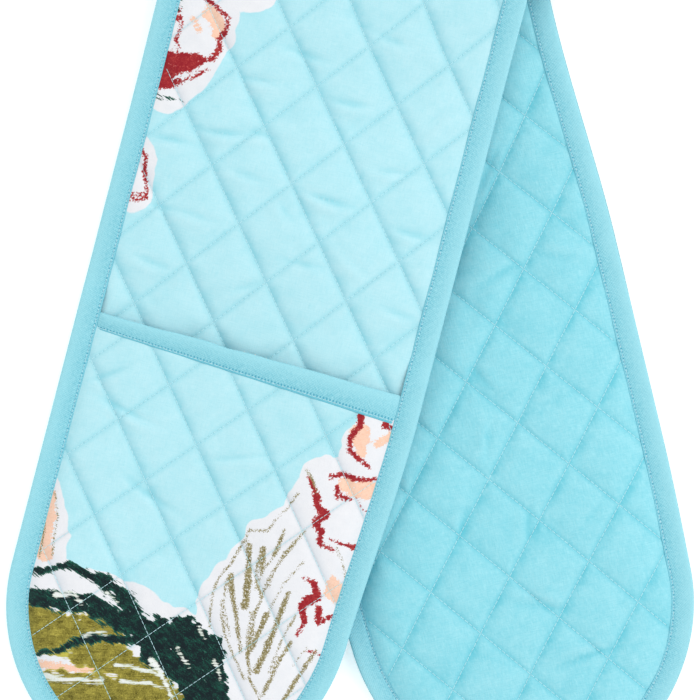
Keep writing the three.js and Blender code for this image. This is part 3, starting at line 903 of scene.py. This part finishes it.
class Value:
    """The result of a shader node, with the usual signs for more maths."""

    def __init__(self, socket):
        self.socket = socket

    def maths(self, operation, *others):
        inputs = dict(enumerate((self, *others)))
        return add_node(self.socket.id_data, "Math", inputs, operation=operation)

    __add__ = partialmethod(maths, "ADD")
    __sub__ = partialmethod(maths, "SUBTRACT")
    __mul__ = partialmethod(maths, "MULTIPLY")
    __truediv__ = partialmethod(maths, "DIVIDE")
    __abs__ = partialmethod(maths, "ABSOLUTE")
    __round__ = partialmethod(maths, "ROUND")
    least = partialmethod(maths, "MINIMUM")
    most = partialmethod(maths, "MAXIMUM")

    def clamped(self):
        """The same result, kept between 0 and 1."""
        self.socket.node.use_clamp = True
        return self

    def ramp(self, low, high):
        """0 below low, 1 above high, straight between them. low may be over high."""
        return ((self - low) / (high - low)).clamped()

    def split(self):
        node = self.socket.id_data.nodes.new("ShaderNodeSeparateXYZ")
        fill(node, {0: self})
        return [Value(socket) for socket in node.outputs]


def mix(share, below, above, blend="MIX"):
    """Colour below where share is 0, and above where it is 1. A screen colour will do for either."""
    below, above = (linear(*c) if isinstance(c, tuple) else c for c in (below, above))
    return add_node(share.socket.id_data, "Mix", {0: share, 6: below, 7: above}, 2,
                    data_type="RGBA", blend_type=blend)


def tinted(colour, share, tint):
    """The colour multiplied by a tint, as far as share says."""
    return mix(share, colour, tint, "MULTIPLY")


class Fabric:
    """One fabric's material. Its noise lies on the flat pattern."""

    def __init__(self, name, roughness, sheen):
        self.material = bpy.data.materials.new(name)
        self.material.use_nodes = True
        self.tree = self.material.node_tree
        self.shader = self.tree.nodes["Principled BSDF"]
        fill(self.shader, {"Roughness": roughness, "Sheen Weight": sheen, "Sheen Roughness": 0.6,
                           "Specular IOR Level": 0.2})
        self.where = self.attribute("flat")

    def attribute(self, name):
        return add_node(self.tree, "Attribute", {}, "Vector", attribute_name=name)

    def noise(self, angle, scale, detail=2.0, roughness=0.5, distortion=0.0):
        """Noise about 0, mostly from -1 to 1, turned by an angle in degrees. The scale is in blotches
        to a metre."""
        turned = add_node(self.tree, "VectorRotate", {"Vector": self.where, "Angle": math.radians(angle)},
                          rotation_type="Z_AXIS")
        stretched = add_node(self.tree, "VectorMath", {0: turned, 1: scale}, operation="MULTIPLY")
        blotches = add_node(self.tree, "TexNoise", {
            "Vector": stretched, "Scale": 1.0, "Detail": detail, "Roughness": roughness,
            "Distortion": distortion})
        return blotches * 4.0 - 2.0

    def finish(self, colour, height, depth):
        """Connects the colour, and a bump whose height of 1 is depth in metres."""
        bump = add_node(self.tree, "Bump", {"Strength": 1.0, "Distance": depth, "Height": height})
        fill(self.shader, {"Base Color": colour, "Normal": bump})
        return self.material


def seams(fabric):
    """Distance from a quilting seam, its needle holes, the shade on its lower side, and the creases."""
    a, b, soft = fabric.attribute("quilt").split()
    from_a, from_b = ((t - round(t)) * PITCH for t in (a, b))
    near_a, near_b = abs(from_a), abs(from_b)
    # Painted shade in a band on one side of each b seam, the side away from the light.
    lee_shade = (from_b.ramp(-6.5, -0.4) * from_b.ramp(0.5, -0.5)).maths("POWER", 1.8)
    holes = []
    for near, other in ((near_a, b), (near_b, a)):
        step = other * float(STITCHES_PER_CELL)
        gap = (step - round(step)) * 2.7
        holes.append((near * near + gap * gap).maths("SQRT").ramp(0.6, 0.2))
    return near_a.least(near_b), holes[0].most(holes[1]), lee_shade, soft


def ground(fabric, colour, deep, seam_shade_share, blotch_share):
    """Dyed cotton: uneven dye, slubs both ways, deeper colour in needle holes, and painted shade in the
    seams, beside the b seams on the side away from the light and in the creases' grooves, with a painted
    highlight on the creases' banks.
    """
    yarn, slub_length = 1000 / 0.55, 1000 / 5.0
    cloud = fabric.noise(20, (75, 100, 1), 4, 0.65)
    slub = fabric.noise(0, (yarn, slub_length, 1)) + fabric.noise(0, (slub_length, yarn, 1))
    mottle = ((cloud * 0.5 + slub * 0.5) * blotch_share + blotch_share).clamped()
    near, holes, lee_shade, soft = seams(fabric)
    patchy = (cloud * 0.9 + 0.7).clamped()
    # Painted shade: darker in each seam, and in patches beside the b seams on the side away from the light.
    band = (near.ramp(2.4, 0.1) * (0.55 * seam_shade_share)).most(lee_shade * patchy * seam_shade_share)
    # deep is the deeper tone of the uneven dye here, and also the colour of the painted shade below.
    out = mix(mottle, colour, deep)
    out = mix(band, out, deep)
    # Painted shade in the grooves of the puckers and pressed folds, and a painted highlight on their banks.
    out = mix(soft.ramp(-0.1, -1.3) * 0.62, out, deep)
    out = mix(soft.ramp(0.1, 1.1) * 0.06, out, (255, 255, 255))
    return out, near, holes, slub, lee_shade


def brushed(field, edge, streaks, size, soft):
    """Where an ink covers the cloth: its edge in millimetres, broken up by brush streaks."""
    return (field + streaks * size).ramp(edge + soft / 2, edge - soft / 2)


def printed_cotton():
    """The printed face: paper-white patches and inks over the dyed ground."""
    fabric = Fabric("printed cotton", 0.88, 0.08)
    # The second colour is both the dye's deeper tone and the painted shade at seams and creases.
    colour, near, holes, slub, lee_shade = ground(fabric, (186, 229, 237), (131, 208, 221), 0.62, 0.22)
    halo, peach, burgundy = fabric.attribute("ink_a").split()
    olive, green, pencil = fabric.attribute("ink_b").split()
    yellow, white, _ = fabric.attribute("ink_c").split()
    grain = fabric.noise(0, (1500, 1500, 1), 2, 0.6)
    speck = fabric.noise(30, (700, 900, 1), 3, 0.7)
    leaf = fabric.noise(14, (90, 900, 1), 4, 0.7)
    sweep = fabric.noise(-20, (130, 800, 1), 4, 0.7)
    tone = fabric.noise(50, (230, 230, 1), 3, 0.6)
    flecks = fabric.noise(-35, (240, 900, 1), 4, 0.75)
    pencilled = fabric.noise(0, (1100, 900, 1), 3, 0.7)

    paper = mix(tone.ramp(-1.5, 1.5), (231, 232, 235), (222, 225, 230))
    # Painted shade on the white paper in the seams.
    paper = mix(near.ramp(1.6, 0.2) * 0.35, paper, (190, 201, 209))
    printed = mix(brushed(halo, 0.0, grain, 0.12, 0.5), colour, paper)
    # Each ink: its field, how far its edge moves out, the noise that breaks its edge and by how much,
    # how soft the edge is, the noise and level over which it misses the cloth, its main and second
    # colour, and how much of the second shows.
    inks = (
        (peach, 0.1, speck, 1.6, 0.6, speck, 0.5, (243, 206, 184), (236, 188, 160), 0.3),
        (yellow, 0.2, leaf, 2.2, 0.9, leaf, 0.5, (204, 198, 96), (170, 168, 60), 0.4),
        (olive, 0.4, leaf, 3.0, 0.5, speck, 0.8, (80, 74, 10), (198, 186, 84), 0.32),
        (green, 0.1, sweep, 2.2, 0.3, flecks, 0.7, (4, 25, 30), (30, 118, 94), 0.03),
        (white, 0.1, leaf, 1.8, 0.5, speck, 0.55, (232, 234, 236), (206, 218, 200), 0.2),
        (burgundy, -0.3, speck, 1.4, 0.3, speck, 0.8, (146, 24, 36), (206, 84, 74), 0.08),
        (pencil, -0.05, grain, 0.9, 0.4, pencilled, 0.26, (100, 90, 48), (168, 158, 116), 0.25),
    )
    for field, edge, streaks, size, soft, gaps, level, inner, rim, second in inks:
        cover = brushed(field, edge, streaks, size, soft) * gaps.ramp(level + 0.22, level)
        near_gap = field.ramp(-1.2, 0.5).most(gaps.ramp(level - 0.45, level))
        shade = (near_gap * 0.6 + ((tone + streaks + grain) * 0.24 + second)).clamped()
        printed = mix(cover, printed, mix(shade, inner, rim))
    printed = tinted(printed, holes * 0.3, (176, 214, 222))
    # Painted shade on the seams' side away from the light, over paper and inks.
    printed = tinted(printed, lee_shade * 0.3, (196, 214, 224))
    printed = tinted(printed, slub.ramp(1.2, 2.6), (228, 238, 242))
    return fabric.finish(printed, slub + holes * -2.0, 0.00003)


def cotton_lining():
    """The plain lining, paler where it is worn."""
    fabric = Fabric("cotton lining", 0.9, 0.1)
    # The second colour is both the dye's deeper tone and the painted shade at seams and creases.
    colour, _, holes, slub, _ = ground(fabric, (157, 221, 232), (84, 191, 209), 0.75, 0.28)
    worn = fabric.noise(70, (260, 600, 1), 4, 0.75)
    colour = mix(worn.ramp(0.1, 1.1) * 0.5, colour, (172, 233, 242))
    colour = tinted(colour, holes * 0.3, (170, 214, 224))
    return fabric.finish(colour, slub + holes * -2.0, 0.00005)


def bias_binding():
    """Twill tape: fine slanting ribs, a stitched line near its inner edge, uneven tone, and painted shade
    that deepens from its folded outer edge inwards.
    """
    fabric = Fabric("bias binding", 0.88, 0.12)
    across, along, inwards = fabric.where.split()
    jitter = fabric.noise(0, (300, 300, 1))
    ribs = ((across * 700.0 + along * 760.0 + jitter * 0.12) * math.tau).maths("SINE")
    cloud = fabric.noise(30, (90, 60, 1), 3, 0.6)
    grain = fabric.noise(45, (1500, 500, 1), 3, 0.7)
    distance = inwards * (1 / MM)
    # Uneven tone, and painted shade that deepens from 2 to 9 mm in from the tape's folded outer edge.
    pressed = (cloud * 0.25 + distance.ramp(2.0, 9.0)).clamped()
    weave = ribs * 0.12 + grain * 0.42
    share = (weave * (pressed * 0.9 + 0.35) + (pressed * 0.34 + 0.2)).clamped()
    colour = mix(share, (160, 221, 232), (106, 187, 205))
    # The stitched line: a dark hole at each end of a stitch, and the shadow of the tape's folded edge
    stitch = (along * (math.tau / (1.7 * MM))).maths("SINE")
    dots = abs(distance - SEAM_INSET).ramp(0.62, 0.35) * stitch.ramp(-0.2, 0.4)
    colour = mix(dots * 0.8, colour, (58, 156, 184))
    colour = mix(distance.ramp(11.1, 11.6) * 0.6, colour, (84, 178, 200))
    return fabric.finish(colour, ribs + grain, 0.00005)


def wadding():
    """Loose white fibres."""
    fabric = Fabric("wadding", 0.95, 0.2)
    fibres = fabric.noise(35, (900, 120, 1), 4, 0.7, 1.5)
    colour = mix(fibres.ramp(-1.5, 1.5), (244, 242, 236), (220, 217, 208))
    return fabric.finish(colour, fibres, 0.0003)


def sewing_thread(name, pale, deep):
    """Thread. It has no place on the flat pattern, so its noise lies in space."""
    fabric = Fabric(name, 0.75, 0.15)
    fabric.where = add_node(fabric.tree, "TexCoord", {}, "Object")
    twist = fabric.noise(0, (1800, 1800, 1800), 1)
    return fabric.finish(mix(twist.ramp(-1.5, 1.5), pale, deep), twist, 0.00005)


MATERIALS = {make.__name__: make() for make in (printed_cotton, cotton_lining, bias_binding, wadding)}
MATERIALS["thread"] = sewing_thread("quilting thread", (204, 240, 246), (184, 231, 240))
MATERIALS["binding_thread"] = sewing_thread("binding thread", (216, 243, 248), (176, 224, 235))


# ---- studio

# The camera looks straight down, as the photo's did: where it is, its turn, and how wide its view is
CAMERA_AT = (-0.0027, 0.0062, 3.2)
CAMERA_TURN = math.radians(0.55)
CAMERA_VIEW = 0.3532
CAMERA_SENSOR = 36

# A broad, soft key light from the upper right, over an even white sky
KEY_AZIMUTH, KEY_ELEVATION = math.radians(28), math.radians(42)
KEY_SIZE, KEY_STRENGTH = math.radians(40), 0.75
FLOOR_GREY, FLOOR_GLOW = 0.9, 0.34


def add_camera():
    data = bpy.data.cameras.new("camera")
    camera = add_object("camera", data)
    camera.location = CAMERA_AT
    camera.rotation_euler = (0, 0, CAMERA_TURN)
    data.sensor_width = CAMERA_SENSOR
    data.lens = CAMERA_SENSOR * CAMERA_AT[2] / CAMERA_VIEW
    bpy.context.scene.camera = camera


def add_studio():
    bpy.ops.mesh.primitive_plane_add(size=6, location=(0, 0, -0.0001))
    floor = bpy.context.object
    floor.name = "floor"
    pale = bpy.data.materials.new("pale floor")
    pale.use_nodes = True
    fill(pale.node_tree.nodes["Principled BSDF"], {
        "Base Color": (FLOOR_GREY, FLOOR_GREY, FLOOR_GREY, 1), "Roughness": 0.9,
        "Specular IOR Level": 0.1, "Emission Color": WHITE, "Emission Strength": FLOOR_GLOW})
    floor.data.materials.append(pale)
    world = bpy.data.worlds.new("studio")
    bpy.context.scene.world = world
    world.use_nodes = True
    fill(world.node_tree.nodes["Background"], {"Color": WHITE, "Strength": 1.0})
    light = bpy.data.lights.new("key", "SUN")
    light.angle, light.energy = KEY_SIZE, KEY_STRENGTH
    lamp = add_object("key", light)
    flat = math.cos(KEY_ELEVATION)
    lamp.location = (flat * math.cos(KEY_AZIMUTH), flat * math.sin(KEY_AZIMUTH), math.sin(KEY_ELEVATION))
    lamp.rotation_euler = (-lamp.location).to_track_quat("-Z", "Y").to_euler()
    bpy.context.scene.view_settings.view_transform = "Standard"


add_camera()
for half, end in (("front", 1), ("back", -1)):
    add_half(half, end)
    add_pocket(f"{half}_pocket", end)
add_hanging_loop()
for node, piece in (("outer_fabric", "strip_print"), ("wadding", "strip_wadding"),
                    ("lining", "strip_lining"), ("binding_left", "binding"), ("binding_right", "binding")):
    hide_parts(f"fold_{node}")
add_studio()
